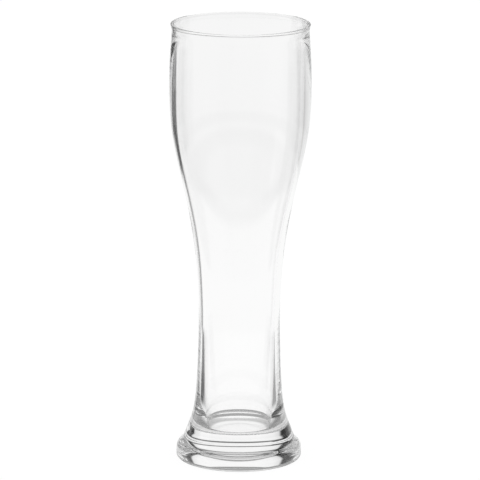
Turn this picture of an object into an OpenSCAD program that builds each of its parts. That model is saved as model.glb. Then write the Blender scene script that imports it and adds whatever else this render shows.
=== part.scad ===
// Tall weizen beer glass, one moulded piece of clear glass.
// It stands on the ring under its foot. The axis of the glass is Z, and z = 0 is the table.

/* [Foot] */
// Diameter of the foot at its widest
foot_d = 71; // [64:0.5:80]
// Radius of the foot's lower edge
foot_lower_r = 1.6; // [0.8:0.1:3]
// Height of the upright band between the foot's two rounded edges
foot_band_h = 3.7; // [1:0.1:6]
// Radius of the foot's upper edge
foot_upper_r = 4.9; // [3:0.1:6]
// Angle from upright at which the upper edge turns over into the hollow curve
foot_upper_angle = 54; // [35:1:65]
// Radius of the hollow curve between the foot's upper edge and its cone
fillet_r = 6; // [3:0.1:9]
// Angle of the cone from upright
cone_angle = 21; // [12:1:28]
// Height of the cone's straight stretch
cone_h = 3.4; // [1:0.1:6]
// Width of the flat ring that the glass stands on
stand_ring_w = 3.5; // [2:0.1:8]
// Depth of the recess at its edge, inside the standing ring
recess_h = 1; // [0.5:0.1:2]
// How much deeper the recess is in its middle
recess_dome_h = 1.5; // [0.5:0.1:3]
// Angle from upright at which the recess's side leans in
recess_lean = 8; // [2:1:45]
// Radius of the recess's upper and lower edges
recess_edge_r = 0.1; // [0.05:0.05:0.3]

/* [Body] */
// Height from the cone to the waist
flare_h = 64.6; // [50:0.1:80]
// Diameter of the waist, the narrowest place
waist_d = 45.9; // [43:0.1:52]
// Height from the waist to the widest place of the bulb
shoulder_h = 132; // [110:1:150]
// Diameter of the bulb at its widest
bulb_d = 79.7; // [72:0.1:90]
// Height from the widest place of the bulb to the rim
mouth_h = 38; // [28:1:48]
// Diameter of the rim over its outside
rim_d = 78.2; // [69:0.1:80]
// How far the lip turns out from the wall under it
lip_turn_out = 0.65; // [0.2:0.05:1]
// Radius of the hollow curve in which it turns out
neck_curve_r = 12; // [6:0.5:20]
// Angle at which the outside leans in under that curve
neck_lean = 4.5; // [1:0.1:8]

/* [Cavity] */
// Thickness of the lip at the rim
lip_t = 2; // [1.4:0.1:3]
// Radius of each edge of the lip
lip_edge_r = 0.6; // [0.2:0.05:0.65]
// Thickness of the wall at the widest place of the bulb
bulb_wall_t = 3.9; // [2.2:0.1:5]
// Thickness of the wall at the waist
waist_wall_t = 2.5; // [1.6:0.1:3.5]
// Diameter of the cavity just above its floor
well_d = 39.3; // [36:0.1:41]
// Radius of the corner between the cavity's wall and its floor
well_corner_r = 1.5; // [0.3:0.1:4]
// Thickness of the glass between the recess's edge and the cavity's floor
floor_t = 16.7; // [12:0.1:20]

/* [Hidden] */
$fn = 128;

// Outline between two named places: each row is a share of the height between them, and a share
// of the way from the radius at the first to the radius at the second
flare_shares = [[0.12, 0.406], [0.3, 0.725], [0.55, 0.89], [0.78, 0.966]];
shoulder_shares =
    [[0.19, 0.053], [0.38, 0.214], [0.568, 0.498], [0.742, 0.802], [0.833, 0.922], [0.91, 0.977]];
mouth_shares = [[0.605, 0.37]];

// The same for the cavity: from the well up to the waist, on to the bulb and on to the rim
well_wall_shares = [[0.5, 0.43]];
cavity_shoulder_shares =
    [[0.19, 0.058], [0.38, 0.242], [0.568, 0.558], [0.742, 0.843], [0.833, 0.934], [0.91, 0.974]];
cavity_mouth_shares = [[0.605, 0.42], [0.86, 0.72]];
// Slope of the cavity's wall just above its corner, radius over height, so that it comes off its mould
well_draft = 0.008;

// Points along each curved stretch
edge_steps = 12;
curve_steps = 8;
dome_steps = 12;

foot_r = foot_d / 2;
waist_r = waist_d / 2;
bulb_r = bulb_d / 2;
rim_r = rim_d / 2;
stand_r = foot_r - foot_lower_r;
recess_r = stand_r - stand_ring_w;
recess_top_r = recess_r - recess_h * tan(recess_lean);
// How far the recess's rounded edges reach along each face
recess_edge_reach = recess_edge_r * tan(45 - recess_lean / 2);
dome_r = recess_top_r - recess_edge_reach;
// Angle from level at which the recess's dome meets its rounded edge
dome_edge_angle = atan(2 * recess_dome_h / dome_r);

band_top_z = foot_lower_r + foot_band_h;
edge_top_z = band_top_z + foot_upper_r * sin(foot_upper_angle);
edge_top_r = foot_r - foot_upper_r * (1 - cos(foot_upper_angle));
fillet_centre = [edge_top_r, edge_top_z] + fillet_r * [cos(foot_upper_angle), sin(foot_upper_angle)];
cone_z = fillet_centre[1] - fillet_r * sin(cone_angle);
cone_r = fillet_centre[0] - fillet_r * cos(cone_angle);
flare_z = cone_z + cone_h;
flare_r = cone_r - cone_h * tan(cone_angle);
waist_z = flare_z + flare_h;
bulb_z = waist_z + shoulder_h;
rim_z = bulb_z + mouth_h;

floor_z = recess_h + floor_t;
well_r = well_d / 2;
well_z = floor_z + well_corner_r;
mouth_r = rim_r - lip_t;
lip_z = rim_z - lip_edge_r;
// The lip's outer edge, and the hollow curve that meets it at turn_angle below level
lip_edge_centre = [rim_r - lip_edge_r, lip_z];
turn_angle = acos(1 - lip_turn_out / (lip_edge_r + neck_curve_r));
neck_centre = lip_edge_centre + (lip_edge_r + neck_curve_r) * [cos(turn_angle), -sin(turn_angle)];
neck = neck_centre - neck_curve_r * [cos(neck_lean), sin(neck_lean)];

// Points of an arc about [r, z], from one angle to another
function arc(centre, radius, from, to) =
    [for (k = [0:edge_steps]) let (a = from + (to - from) * k / edge_steps)
        centre + radius * [cos(a), sin(a)]];

// Stations between two places [height, radius], from a table of shares
function stations(start, end, shares) =
    [for (s = shares) [start[0] + (end[0] - start[0]) * s[0], start[1] + (end[1] - start[1]) * s[1]]];

// Slopes of the smooth curve through stations p, by elimination and then back substitution
function eliminate(p, i, c, d) =
    i == len(p) - 1 ? [c, d] :
    let (
        below = p[i][0] - p[i - 1][0],
        above = p[i + 1][0] - p[i][0],
        pull = 3 * ((p[i][1] - p[i - 1][1]) / pow(below, 2) + (p[i + 1][1] - p[i][1]) / pow(above, 2)),
        pivot = 2 * (1 / below + 1 / above) - c[i - 1] / below
    )
    eliminate(p, i + 1, concat(c, 1 / (above * pivot)), concat(d, (pull - d[i - 1] / below) / pivot));

function substitute(cd, i, m) =
    i < 0 ? m : substitute(cd, i - 1, concat([cd[1][i] - cd[0][i] * m[0]], m));

function slopes(p, first, last) =
    let (cd = eliminate(p, 1, [0], [first]))
    substitute(cd, len(p) - 2, [last]);

// Smooth curve through stations p [height, radius], given its slopes at both ends, as points [r, z]
function smooth(p, first, last) =
    let (m = slopes(p, first, last))
    [for (i = [0:len(p) - 2], k = [(i == 0 ? 0 : 1):curve_steps])
        let (
            h = p[i + 1][0] - p[i][0],
            t = k / curve_steps,
            r = p[i][1] * (1 + 2 * t) * pow(1 - t, 2) + h * m[i] * t * pow(1 - t, 2)
                + p[i + 1][1] * (3 - 2 * t) * pow(t, 2) + h * m[i + 1] * (t - 1) * pow(t, 2)
        )
        [r, p[i][0] + h * t]];

function reversed(points) = [for (i = [len(points) - 1:-1:0]) points[i]];

// Shallow dome over a circle of radius r, as points from its middle to just short of its edge
function dome(r, edge_z, rise) =
    [for (k = [0:dome_steps - 1]) let (t = k / dome_steps)
        [r * t, edge_z + rise * (1 - pow(t, 2))]];

// Underside: the domed recess with its two rounded edges, then the flat ring that the glass stands on
underside = concat(
    dome(dome_r, recess_h, recess_dome_h),
    arc([dome_r, recess_h - recess_edge_r], recess_edge_r, 90 - dome_edge_angle, recess_lean),
    arc([recess_r + recess_edge_reach, recess_edge_r], recess_edge_r, 180 + recess_lean, 270),
    [[stand_r, 0]]
);

// Foot: two rounded edges with an upright band between them, then the hollow curve up to the cone
foot_edge = concat(
    arc([stand_r, foot_lower_r], foot_lower_r, -90, 0),
    arc([foot_r - foot_upper_r, band_top_z], foot_upper_r, 0, foot_upper_angle),
    arc(fillet_centre, fillet_r, 180 + foot_upper_angle, 180 + cone_angle)
);

// Outside of the body: flare, waist, shoulder, bulb and mouth in one smooth curve
outside = smooth(
    concat(
        [[flare_z, flare_r]],
        stations([flare_z, flare_r], [waist_z, waist_r], flare_shares),
        [[waist_z, waist_r]],
        stations([waist_z, waist_r], [bulb_z, bulb_r], shoulder_shares),
        [[bulb_z, bulb_r]],
        stations([bulb_z, bulb_r], [neck[1], neck[0]], mouth_shares),
        [[neck[1], neck[0]]]
    ),
    -tan(cone_angle), -tan(neck_lean)
);

// Lip: the hollow curve that turns it out, then its two rounded edges
lip = concat(
    arc(neck_centre, neck_curve_r, 180 + neck_lean, 180 - turn_angle),
    arc(lip_edge_centre, lip_edge_r, -turn_angle, 90),
    arc([mouth_r + lip_edge_r, lip_z], lip_edge_r, 90, 180)
);

// Cavity, from its corner up to the mouth
cavity = smooth(
    concat(
        [[well_z, well_r]],
        stations([well_z, well_r], [waist_z, waist_r - waist_wall_t], well_wall_shares),
        [[waist_z, waist_r - waist_wall_t]],
        stations([waist_z, waist_r - waist_wall_t], [bulb_z, bulb_r - bulb_wall_t], cavity_shoulder_shares),
        [[bulb_z, bulb_r - bulb_wall_t]],
        stations([bulb_z, bulb_r - bulb_wall_t], [rim_z, mouth_r], cavity_mouth_shares),
        [[lip_z, mouth_r]]
    ),
    well_draft, 0
);

// Floor of the cavity, with its rounded corner
well_floor = concat(
    arc([well_r - well_corner_r, well_z], well_corner_r, 0, -90),
    [[0, floor_z]]
);

module glass() {
    color([0.9, 0.93, 0.94, 0.4])
        rotate_extrude()
            polygon(concat(underside, foot_edge, outside, lip, reversed(cavity), well_floor));
}

glass();
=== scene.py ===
"""A tall weizen beer glass of clear moulded glass, standing on a pale floor in soft studio light.

Sizes are in millimetres, angles in degrees and heights above the table, unless a name says otherwise.
"""
from math import acos, atan, cos, degrees, hypot, pi, radians, sin, tan

import bpy
from mathutils import Euler, Matrix, Vector


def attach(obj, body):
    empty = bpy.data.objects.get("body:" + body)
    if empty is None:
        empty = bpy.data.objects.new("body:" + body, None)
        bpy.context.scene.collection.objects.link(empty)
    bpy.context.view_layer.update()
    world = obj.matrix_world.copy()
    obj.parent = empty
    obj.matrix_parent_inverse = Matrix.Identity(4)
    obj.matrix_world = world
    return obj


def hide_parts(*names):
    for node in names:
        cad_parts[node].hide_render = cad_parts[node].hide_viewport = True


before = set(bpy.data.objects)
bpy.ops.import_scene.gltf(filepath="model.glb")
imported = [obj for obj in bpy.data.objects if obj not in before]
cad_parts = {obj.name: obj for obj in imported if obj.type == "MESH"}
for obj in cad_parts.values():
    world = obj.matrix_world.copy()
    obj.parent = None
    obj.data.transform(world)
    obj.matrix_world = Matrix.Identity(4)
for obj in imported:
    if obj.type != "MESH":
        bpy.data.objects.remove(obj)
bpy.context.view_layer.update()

MM = 0.001

# Foot
FOOT_D = 71
FOOT_LOWER_R = 1.6
FOOT_BAND_H = 3.7
FOOT_UPPER_R = 4.9
FOOT_UPPER_ANGLE = 54
FILLET_R = 6
CONE_ANGLE = 21
CONE_H = 3.4
STAND_RING_W = 3.5
RECESS_H = 1
RECESS_DOME_H = 1.5
RECESS_LEAN = 8
RECESS_EDGE_R = 0.1

# Body
FLARE_H = 64.6
WAIST_D = 45.9
SHOULDER_H = 132
BULB_D = 79.7
MOUTH_H = 38
RIM_D = 78.2
LIP_TURN_OUT = 0.65
NECK_CURVE_R = 12
NECK_LEAN = 4.5

# Cavity
LIP_T = 2
LIP_EDGE_R = 0.6
BULB_WALL_T = 3.9
WAIST_WALL_T = 2.5
WELL_D = 39.3
WELL_CORNER_R = 1.5
FLOOR_T = 16.7
# Slope of the cavity's wall just above its corner, radius over height
WELL_DRAFT = 0.008

# Outline between two named places: a share of the height between them, and a share of the way from
# the radius at the first to the radius at the second
FLARE_SHARES = ((0.12, 0.406), (0.3, 0.725), (0.55, 0.89), (0.78, 0.966))
SHOULDER_SHARES = (
    (0.19, 0.053), (0.38, 0.214), (0.568, 0.498), (0.742, 0.802), (0.833, 0.922), (0.91, 0.977),
)
MOUTH_SHARES = ((0.605, 0.37),)
WELL_WALL_SHARES = ((0.5, 0.43),)
CAVITY_SHOULDER_SHARES = (
    (0.19, 0.058), (0.38, 0.242), (0.568, 0.558), (0.742, 0.843), (0.833, 0.934), (0.91, 0.974),
)
CAVITY_MOUTH_SHARES = ((0.605, 0.42), (0.86, 0.72))

# Points along each curved stretch of the outline, and sides round the glass
EDGE_STEPS = 14
CURVE_STEPS = 12
DOME_STEPS = 24
SIDES = 320
# Points of the outline that lie nearer than this are one
SAME_PLACE = 1e-6

# Polished glass: its refractive index, and the waves that the mould leaves in it, by how far apart and how
# high they are, how much longer than wide, and how many finer sets of waves lie on them
GLASS_IOR = 1.5
WAVE_LENGTH = 14
WAVE_H = 0.02
WAVE_STRETCH = 3
WAVE_DETAIL = 1

# Times that light may turn before it is given up: it goes to and fro inside the thick foot many times
BOUNCES = 96

# Photograph's view: the camera's distance from the axis and its height, its tilt and roll, its focal
# length, and how far right of the picture's middle the axis stands
VIEW_DISTANCE = 2054.8
VIEW_HEIGHT = 608.7
VIEW_DOWN = 13.218
VIEW_ROLL = 0.26
VIEW_FOCAL_PX = 3742.2
VIEW_WIDTH_PX = 480
VIEW_AXIS_PX = -0.35
SENSOR_WIDTH = 36
# How many times nearer and farther than the glass the camera still sees
CLIP_RATIO = 100

# Studio that the glass sees, as (azimuth, brightness). Azimuth 0 is straight behind the glass in the
# photograph's view, and azimuths grow to the right of it. WALLS stand all round, white and grey screens
# with dark gaps between them. At their foot lie TABLE near the glass, then MIDDLE_TABLE, and FAR_TABLE
# up to the walls. These three are painted light and shade: the table glows with them for light that has
# come through the glass, with dark painted shade towards the gaps
WALLS = (
    (-180, 0.5), (-158, 0.5), (-150, 0.4), (-112, 0.4), (-109, 0.95), (-86, 0.95),
    (-82, 0.05), (-60, 0.03), (-36, 0.03), (-33, 0.75), (-26, 0.9), (-14, 0.95),
    (30, 0.95), (39, 0.8), (41, 0.05), (51, 0.05), (53, 0.85), (60, 0.85),
    (62, 0.45), (92, 0.45), (96, 0.6), (146, 0.6), (156, 0.5), (180, 0.5),
)
FAR_TABLE = (
    (-180, 0.8), (-150, 0.8), (-112, 0.85), (-80, 0.9), (-76, 0.35), (-62, 0.35), (-60, 0.7),
    (-44, 0.7), (-42, 0.02), (-23, 0.02), (-21, 0.82), (-20, 0.84), (5, 0.87), (12, 0.8),
    (20, 0.74), (36, 0.68), (42, 0.5), (50, 0.5), (53, 0.55), (64, 0.4), (76, 0.4),
    (80, 0.8), (112, 0.85), (150, 0.8), (180, 0.8),
)
MIDDLE_TABLE = ((-180, 0.9), (-47, 0.9), (-44, 0.2), (-35, 0.2), (-32, 0.9), (180, 0.9))
TABLE = (
    (-180, 0.9), (-82, 0.9), (-76, 0.5), (-63, 0.4), (-59, 0.03), (-42, 0.03), (-40, 0.92),
    (48, 0.92), (52, 0.3), (76, 0.3), (80, 0.8), (120, 0.8), (130, 0.9), (180, 0.9),
)
# Brightness of the table under and beside the glass, by distance from its axis, with a painted shadow: a
# dark ring under the outer part of the foot
NEAR_PAINTED_SHADOW = ((0, 0.9), (19, 0.9), (22, 0.3), (34, 0.3), (42, 0.9), (75, 0.92))
# Distances over which the painted shadow near the glass gives way to TABLE, TABLE to MIDDLE_TABLE, and that
# to FAR_TABLE
TABLE_R = (55, 75)
MIDDLE_TABLE_R = (220, 260)
FAR_TABLE_R = (620, 740)
# Elevations over which FAR_TABLE gives way to WALLS, and the share of their brightness by elevation
HORIZON = (2, 5)
HEIGHTS = (
    (0, 0.15), (8, 0.15), (10, 1), (28, 1), (31, 0.25),
    (47, 0.25), (50, 1), (68, 1.1), (72, 0.1), (90, 0.1),
)

# Light that comes straight through both walls of the glass sees the studio near azimuth 0 whichever way
# it goes, so that no dark gap stands in the bowl: the surfaces that it has passed, and the widest azimuth
SURFACES = 4
STRAIGHT_AZIMUTH = 10
# Whole counts are compared half way between two of them
HALF = 0.5

# Backdrop's brightness in the camera's sight, and the brightness that falls on the matt table
WHITE = 1
SOFT_LIGHT = 0.8
# The table's own glow in the camera's sight, and how much of the soft light it gives back
FLOOR_GLOW = 0.95
FLOOR_SHADE = 0.08
FLOOR_SIZE = 12000
# Film of air that a hard ring leaves between itself and the table
AIR_FILM = 0.05


# Outline of the glass: points (radius, height, how far they face out, how far up)


def arc(centre, radius, start, end, faces=1):
    """Points of an arc about (r, z). faces is 1 where the glass is inside the arc, and -1 where air is."""
    points = []
    for k in range(EDGE_STEPS + 1):
        a = radians(start + (end - start) * k / EDGE_STEPS)
        place = (centre[0] + radius * cos(a), centre[1] + radius * sin(a))
        points.append((*place, faces * cos(a), faces * sin(a)))
    return points


def dome(radius, edge_z, rise):
    """Shallow dome with the glass above it: points from its middle to just short of its edge."""
    points = []
    for k in range(DOME_STEPS):
        t = k / DOME_STEPS
        slope = 2 * rise * t / radius
        length = hypot(1, slope)
        points.append((radius * t, edge_z + rise * (1 - t**2), -slope / length, -1 / length))
    return points


def stations(places, tables):
    """Places [height, radius], with those between each and the next from a table of shares for each gap."""
    result = [places[0]]
    for start, end, shares in zip(places, places[1:], tables):
        height, widening = end[0] - start[0], end[1] - start[1]
        result += [(start[0] + height * a, start[1] + widening * b) for a, b in shares]
        result.append(end)
    return result


def slopes(places, first, last):
    """Slopes of the smooth curve through places, by elimination and then back substitution."""
    factors = [0]
    values = [first]
    for i in range(1, len(places) - 1):
        below = places[i][0] - places[i - 1][0]
        above = places[i + 1][0] - places[i][0]
        rise = (places[i][1] - places[i - 1][1]) / below**2 + (places[i + 1][1] - places[i][1]) / above**2
        pivot = 2 * (1 / below + 1 / above) - factors[-1] / below
        factors.append(1 / (above * pivot))
        values.append((3 * rise - values[-1] / below) / pivot)
    result = [last]
    for factor, value in zip(reversed(factors), reversed(values)):
        result.insert(0, value - factor * result[0])
    return result


def smooth(places, first, last, faces=1):
    """Smooth curve through places [height, radius]. faces is 1 on the outside and -1 in the cavity."""
    m = slopes(places, first, last)
    points = []
    for i in range(len(places) - 1):
        z, r = places[i]
        h = places[i + 1][0] - z
        r2 = places[i + 1][1]
        for k in range(0 if i == 0 else 1, CURVE_STEPS + 1):
            t = k / CURVE_STEPS
            radius = r * (1 + 2 * t) * (1 - t) ** 2 + h * m[i] * t * (1 - t) ** 2
            radius += r2 * (3 - 2 * t) * t**2 + h * m[i + 1] * (t - 1) * t**2
            slope = 6 * (r2 - r) * t * (1 - t) / h
            slope += m[i] * (1 - t) * (1 - 3 * t) + m[i + 1] * t * (3 * t - 2)
            length = hypot(1, slope)
            points.append((radius, z + h * t, faces / length, -faces * slope / length))
    return points


def without_repeats(points):
    """Points that follow each other at one place become one, which faces between them."""
    kept = [points[0]]
    for p in points[1:]:
        q = kept[-1]
        if hypot(p[0] - q[0], p[1] - q[1]) > SAME_PLACE:
            kept.append(p)
            continue
        facing = Vector((p[2] + q[2], p[3] + q[3])).normalized()
        kept[-1] = (p[0], p[1], facing.x, facing.y)
    return kept


def glass_outline():
    """The closed outline, from the middle of the recess to the middle of the cavity's floor."""
    foot_r, waist_r, bulb_r, rim_r = FOOT_D / 2, WAIST_D / 2, BULB_D / 2, RIM_D / 2
    well_r = WELL_D / 2
    mouth_r = rim_r - LIP_T

    # Underside: the domed recess with its two rounded edges, and the flat ring that the glass stands on
    stand_r = foot_r - FOOT_LOWER_R
    recess_r = stand_r - STAND_RING_W
    reach = RECESS_EDGE_R * tan(radians(45 - RECESS_LEAN / 2))
    dome_r = recess_r - RECESS_H * tan(radians(RECESS_LEAN)) - reach
    dome_edge_angle = degrees(atan(2 * RECESS_DOME_H / dome_r))
    underside = dome(dome_r, RECESS_H, RECESS_DOME_H)
    recess_edge = (dome_r, RECESS_H - RECESS_EDGE_R)
    underside += arc(recess_edge, RECESS_EDGE_R, 90 - dome_edge_angle, RECESS_LEAN, -1)
    underside += arc((recess_r + reach, RECESS_EDGE_R), RECESS_EDGE_R, 180 + RECESS_LEAN, 270)

    # Foot: two rounded edges with an upright band between them, and the hollow curve up to the cone
    turn, lean = radians(FOOT_UPPER_ANGLE), radians(CONE_ANGLE)
    band_top_z = FOOT_LOWER_R + FOOT_BAND_H
    fillet_centre = (
        foot_r - FOOT_UPPER_R * (1 - cos(turn)) + FILLET_R * cos(turn),
        band_top_z + FOOT_UPPER_R * sin(turn) + FILLET_R * sin(turn),
    )
    foot = arc((stand_r, FOOT_LOWER_R), FOOT_LOWER_R, -90, 0)
    foot += arc((foot_r - FOOT_UPPER_R, band_top_z), FOOT_UPPER_R, 0, FOOT_UPPER_ANGLE)
    foot += arc(fillet_centre, FILLET_R, 180 + FOOT_UPPER_ANGLE, 180 + CONE_ANGLE, -1)

    # Places between which the body and the cavity run
    flare_z = fillet_centre[1] - FILLET_R * sin(lean) + CONE_H
    flare_r = fillet_centre[0] - FILLET_R * cos(lean) - CONE_H * tan(lean)
    waist_z = flare_z + FLARE_H
    bulb_z = waist_z + SHOULDER_H
    rim_z = bulb_z + MOUTH_H
    lip_z = rim_z - LIP_EDGE_R
    floor_z = RECESS_H + FLOOR_T
    well_z = floor_z + WELL_CORNER_R

    # Lip: the hollow curve that turns it out, and its two rounded edges
    lip_edge_centre = (rim_r - LIP_EDGE_R, lip_z)
    turn_angle = acos(1 - LIP_TURN_OUT / (LIP_EDGE_R + NECK_CURVE_R))
    neck_centre = (
        lip_edge_centre[0] + (LIP_EDGE_R + NECK_CURVE_R) * cos(turn_angle),
        lip_edge_centre[1] - (LIP_EDGE_R + NECK_CURVE_R) * sin(turn_angle),
    )
    neck_lean = radians(NECK_LEAN)
    lip = arc(neck_centre, NECK_CURVE_R, 180 + NECK_LEAN, 180 - degrees(turn_angle), -1)
    lip += arc(lip_edge_centre, LIP_EDGE_R, -degrees(turn_angle), 90)
    lip += arc((mouth_r + LIP_EDGE_R, lip_z), LIP_EDGE_R, 90, 180)

    # Outside of the body, from the cone over the waist and the bulb to the lip's hollow curve
    neck = (neck_centre[1] - NECK_CURVE_R * sin(neck_lean), neck_centre[0] - NECK_CURVE_R * cos(neck_lean))
    outside = stations(
        ((flare_z, flare_r), (waist_z, waist_r), (bulb_z, bulb_r), neck),
        (FLARE_SHARES, SHOULDER_SHARES, MOUTH_SHARES),
    )

    # Cavity, from its corner up. Its last station gives way to the lip's edge
    waist_in = (waist_z, waist_r - WAIST_WALL_T)
    bulb_in = (bulb_z, bulb_r - BULB_WALL_T)
    cavity = stations(
        ((well_z, well_r), waist_in, bulb_in, (rim_z, mouth_r)),
        (WELL_WALL_SHARES, CAVITY_SHOULDER_SHARES, CAVITY_MOUTH_SHARES),
    )
    cavity[-1] = (lip_z, mouth_r)
    well_floor = arc((well_r - WELL_CORNER_R, well_z), WELL_CORNER_R, 0, -90, -1)
    well_floor.append((0, floor_z, 0, 1))

    points = underside + foot + smooth(outside, -tan(lean), -tan(neck_lean))
    points += lip + smooth(cavity, WELL_DRAFT, 0, -1)[::-1] + well_floor
    return without_repeats(points)


def lathe(name, points):
    """A closed body turned about the Z axis, with its surface's true facing kept at every vertex."""
    verts, normals, faces, rings = [], [], [], []
    for r, z, facing_out, facing_up in points:
        count = SIDES if r > 0 else 1
        rings.append([len(verts) + k for k in range(count)])
        for k in range(count):
            a = 2 * pi * k / SIDES
            verts.append((r * cos(a) * MM, r * sin(a) * MM, z * MM))
            normals.append((facing_out * cos(a), facing_out * sin(a), facing_up))
    for low, high in zip(rings, rings[1:]):
        for k in range(SIDES):
            after = (k + 1) % SIDES
            if len(low) == 1:
                faces.append((low[0], high[after], high[k]))
            elif len(high) == 1:
                faces.append((low[k], low[after], high[0]))
            else:
                faces.append((low[k], low[after], high[after], high[k]))
    mesh = bpy.data.meshes.new(name)
    mesh.from_pydata(verts, [], faces)
    mesh.shade_smooth()
    mesh.normals_split_custom_set_from_vertices(normals)
    piece = bpy.data.objects.new(name, mesh)
    bpy.context.scene.collection.objects.link(piece)
    return piece


# Materials


def grey(brightness):
    """A colour without hue."""
    return (brightness, brightness, brightness, 1)


def node(tree, kind, **values):
    """A new node, with its properties and its inputs set by name."""
    made = tree.nodes.new(kind)
    for key, value in values.items():
        if hasattr(made, key):
            setattr(made, key, value)
        else:
            made.inputs[key.replace("_", " ")].default_value = value
    return made


def math_node(tree, operation, first, second=None):
    """A Math node. Its inputs are sockets or numbers."""
    made = node(tree, "ShaderNodeMath", operation=operation)
    for socket, value in zip(made.inputs, (first, second)):
        if isinstance(value, bpy.types.NodeSocket):
            tree.links.new(value, socket)
        elif value is not None:
            socket.default_value = value
    return made.outputs["Value"]


def ramp(tree, value, stops):
    """Brightness by value, from stops of (value, brightness)."""
    start, end = stops[0][0], stops[-1][0]
    share = math_node(tree, "DIVIDE", math_node(tree, "SUBTRACT", value, start), end - start)
    made = node(tree, "ShaderNodeValToRGB")
    elements = made.color_ramp.elements
    for at, brightness in stops[1:-1]:
        elements.new((at - start) / (end - start))
    for element, (at, brightness) in zip(elements, stops):
        element.color = grey(brightness)
    tree.links.new(share, made.inputs["Fac"])
    return made.outputs["Color"]


def ramp_between(tree, value, start, end):
    """0 below start and 1 above end, with a smooth step between them."""
    step = node(tree, "ShaderNodeMapRange", interpolation_type="SMOOTHSTEP", From_Min=start, From_Max=end)
    tree.links.new(value, step.inputs["Value"])
    return step.outputs["Result"]


def blend(tree, factor, first, second):
    """Mixes two colours, each a socket or a brightness."""
    mix = node(tree, "ShaderNodeMix", data_type="RGBA")
    tree.links.new(factor, mix.inputs["Factor"])
    sockets = {socket.identifier: socket for socket in (*mix.inputs, *mix.outputs)}
    for key, value in (("A_Color", first), ("B_Color", second)):
        if isinstance(value, bpy.types.NodeSocket):
            tree.links.new(value, sockets[key])
        else:
            sockets[key].default_value = grey(value)
    return sockets["Result_Color"]


def azimuth(tree, parts, path):
    """Azimuth in degrees at which light on this path sees a place or direction, split into its parts."""
    angle = math_node(tree, "ARCTAN2", parts.outputs["X"], parts.outputs["Y"])
    around = math_node(tree, "DEGREES", angle)
    behind = math_node(tree, "DEGREES", math_node(tree, "SINE", angle))
    behind = math_node(tree, "MAXIMUM", behind, -STRAIGHT_AZIMUTH)
    behind = math_node(tree, "MINIMUM", behind, STRAIGHT_AZIMUTH)
    passed = math_node(tree, "GREATER_THAN", path.outputs["Transmission Depth"], SURFACES - HALF)
    unmirrored = math_node(tree, "LESS_THAN", path.outputs["Glossy Depth"], HALF)
    straight = math_node(tree, "MULTIPLY", passed, unmirrored)
    change = math_node(tree, "MULTIPLY", straight, math_node(tree, "SUBTRACT", behind, around))
    return math_node(tree, "ADD", around, change)


def clear_glass():
    """Clear moulded glass: polished, with the faint waves that a mould leaves."""
    material = bpy.data.materials.new("clear_glass")
    material.use_nodes = True
    tree = material.node_tree
    shader = tree.nodes["Principled BSDF"]
    shader.inputs["Base Color"].default_value = grey(WHITE)
    shader.inputs["Transmission Weight"].default_value = 1
    shader.inputs["Roughness"].default_value = 0
    shader.inputs["IOR"].default_value = GLASS_IOR
    place = node(tree, "ShaderNodeTexCoord")
    stretched = node(tree, "ShaderNodeMapping", Scale=(1, 1, 1 / WAVE_STRETCH))
    tree.links.new(place.outputs["Object"], stretched.inputs["Vector"])
    waves = node(tree, "ShaderNodeTexNoise", Scale=1 / (WAVE_LENGTH * MM), Detail=WAVE_DETAIL)
    tree.links.new(stretched.outputs["Vector"], waves.inputs["Vector"])
    bump = node(tree, "ShaderNodeBump", Distance=WAVE_H * MM)
    tree.links.new(waves.outputs["Fac"], bump.inputs["Height"])
    tree.links.new(bump.outputs["Normal"], shader.inputs["Normal"])
    return material


def white_table():
    """White to the camera. To the glass it glows with painted light and shade, dark towards the studio's
    gaps and with a painted shadow ring under the foot. Its matt side keeps a faint shadow.
    """
    material = bpy.data.materials.new("white_table")
    material.use_nodes = True
    tree = material.node_tree
    tree.nodes.clear()
    place = node(tree, "ShaderNodeTexCoord")
    path = node(tree, "ShaderNodeLightPath")
    parts = node(tree, "ShaderNodeSeparateXYZ")
    tree.links.new(place.outputs["Object"], parts.inputs["Vector"])
    length = node(tree, "ShaderNodeVectorMath", operation="LENGTH")
    tree.links.new(place.outputs["Object"], length.inputs["Vector"])
    distance = math_node(tree, "DIVIDE", length.outputs["Value"], MM)
    around = azimuth(tree, parts, path)
    # Painted shadow of the foot: a dark ring in the table's glow under it, which only light through the
    # glass sees
    colour = ramp(tree, distance, NEAR_PAINTED_SHADOW)
    # Further out, the painted light and shade of the studio on the table, which only light through the
    # glass sees
    zones = ((TABLE_R, TABLE), (MIDDLE_TABLE_R, MIDDLE_TABLE), (FAR_TABLE_R, FAR_TABLE))
    for (start, end), stops in zones:
        colour = blend(tree, ramp_between(tree, distance, start, end), colour, ramp(tree, around, stops))
    colour = blend(tree, path.outputs["Is Camera Ray"], colour, FLOOR_GLOW)
    glow = node(tree, "ShaderNodeEmission")
    tree.links.new(colour, glow.inputs["Color"])
    matt = node(tree, "ShaderNodeBsdfDiffuse", Color=grey(FLOOR_SHADE))
    both = node(tree, "ShaderNodeAddShader")
    tree.links.new(glow.outputs["Emission"], both.inputs[0])
    tree.links.new(matt.outputs["BSDF"], both.inputs[1])
    output = node(tree, "ShaderNodeOutputMaterial")
    tree.links.new(both.outputs["Shader"], output.inputs["Surface"])
    return material


# Scene


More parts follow.
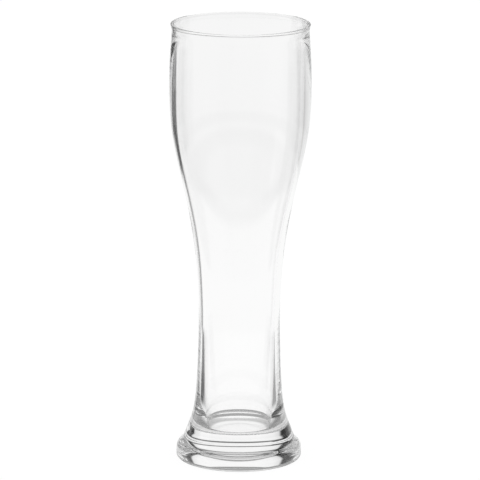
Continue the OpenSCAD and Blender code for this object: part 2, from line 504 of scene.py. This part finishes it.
def studio():
    """White to the camera, and to the glass a studio of pale screens with dark gaps between them."""
    world = bpy.data.worlds.new("studio")
    bpy.context.scene.world = world
    world.use_nodes = True
    tree = world.node_tree
    tree.nodes.clear()
    place = node(tree, "ShaderNodeTexCoord")
    path = node(tree, "ShaderNodeLightPath")
    parts = node(tree, "ShaderNodeSeparateXYZ")
    tree.links.new(place.outputs["Generated"], parts.inputs["Vector"])
    elevation = math_node(tree, "DEGREES", math_node(tree, "ARCSINE", parts.outputs["Z"]))
    around = azimuth(tree, parts, path)
    walls = node(tree, "ShaderNodeVectorMath", operation="MULTIPLY")
    tree.links.new(ramp(tree, around, WALLS), walls.inputs[0])
    tree.links.new(ramp(tree, elevation, HEIGHTS), walls.inputs[1])
    above = ramp_between(tree, elevation, *HORIZON)
    colour = blend(tree, above, ramp(tree, around, FAR_TABLE), walls.outputs["Vector"])
    colour = blend(tree, path.outputs["Is Diffuse Ray"], colour, SOFT_LIGHT)
    colour = blend(tree, path.outputs["Is Camera Ray"], colour, WHITE)
    background = node(tree, "ShaderNodeBackground")
    tree.links.new(colour, background.inputs["Color"])
    output = node(tree, "ShaderNodeOutputWorld")
    tree.links.new(background.outputs["Background"], output.inputs["Surface"])


def floor():
    """The table that the glass stands on."""
    half = FLOOR_SIZE * MM / 2
    corners = [(-half, -half, 0), (half, -half, 0), (half, half, 0), (-half, half, 0)]
    mesh = bpy.data.meshes.new("floor")
    mesh.from_pydata(corners, [], [(0, 1, 2, 3)])
    piece = bpy.data.objects.new("floor", mesh)
    piece.location.z = -AIR_FILM * MM
    bpy.context.scene.collection.objects.link(piece)
    mesh.materials.append(white_table())


def camera():
    """The photograph's view, a long lens a little above the glass."""
    lens = bpy.data.cameras.new("camera")
    piece = bpy.data.objects.new("camera", lens)
    bpy.context.scene.collection.objects.link(piece)
    lens.sensor_width = SENSOR_WIDTH
    lens.lens = SENSOR_WIDTH * VIEW_FOCAL_PX / VIEW_WIDTH_PX
    lens.shift_x = -VIEW_AXIS_PX / VIEW_WIDTH_PX
    lens.clip_start = VIEW_DISTANCE * MM / CLIP_RATIO
    lens.clip_end = VIEW_DISTANCE * MM * CLIP_RATIO
    piece.location = (0, -VIEW_DISTANCE * MM, VIEW_HEIGHT * MM)
    tilt = Euler((radians(90 - VIEW_DOWN), 0, 0)).to_matrix()
    roll = Matrix.Rotation(radians(VIEW_ROLL), 3, "Z")
    piece.rotation_euler = (tilt @ roll).to_euler()
    bpy.context.scene.camera = piece


bpy.context.scene.view_settings.view_transform = "Standard"
bpy.context.scene.cycles.max_bounces = BOUNCES
bpy.context.scene.cycles.glossy_bounces = BOUNCES
bpy.context.scene.cycles.transmission_bounces = BOUNCES
camera()
studio()
floor()
glass = lathe("weizen_glass", glass_outline())
glass.data.materials.append(clear_glass())
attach(glass, "root")
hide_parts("glass")
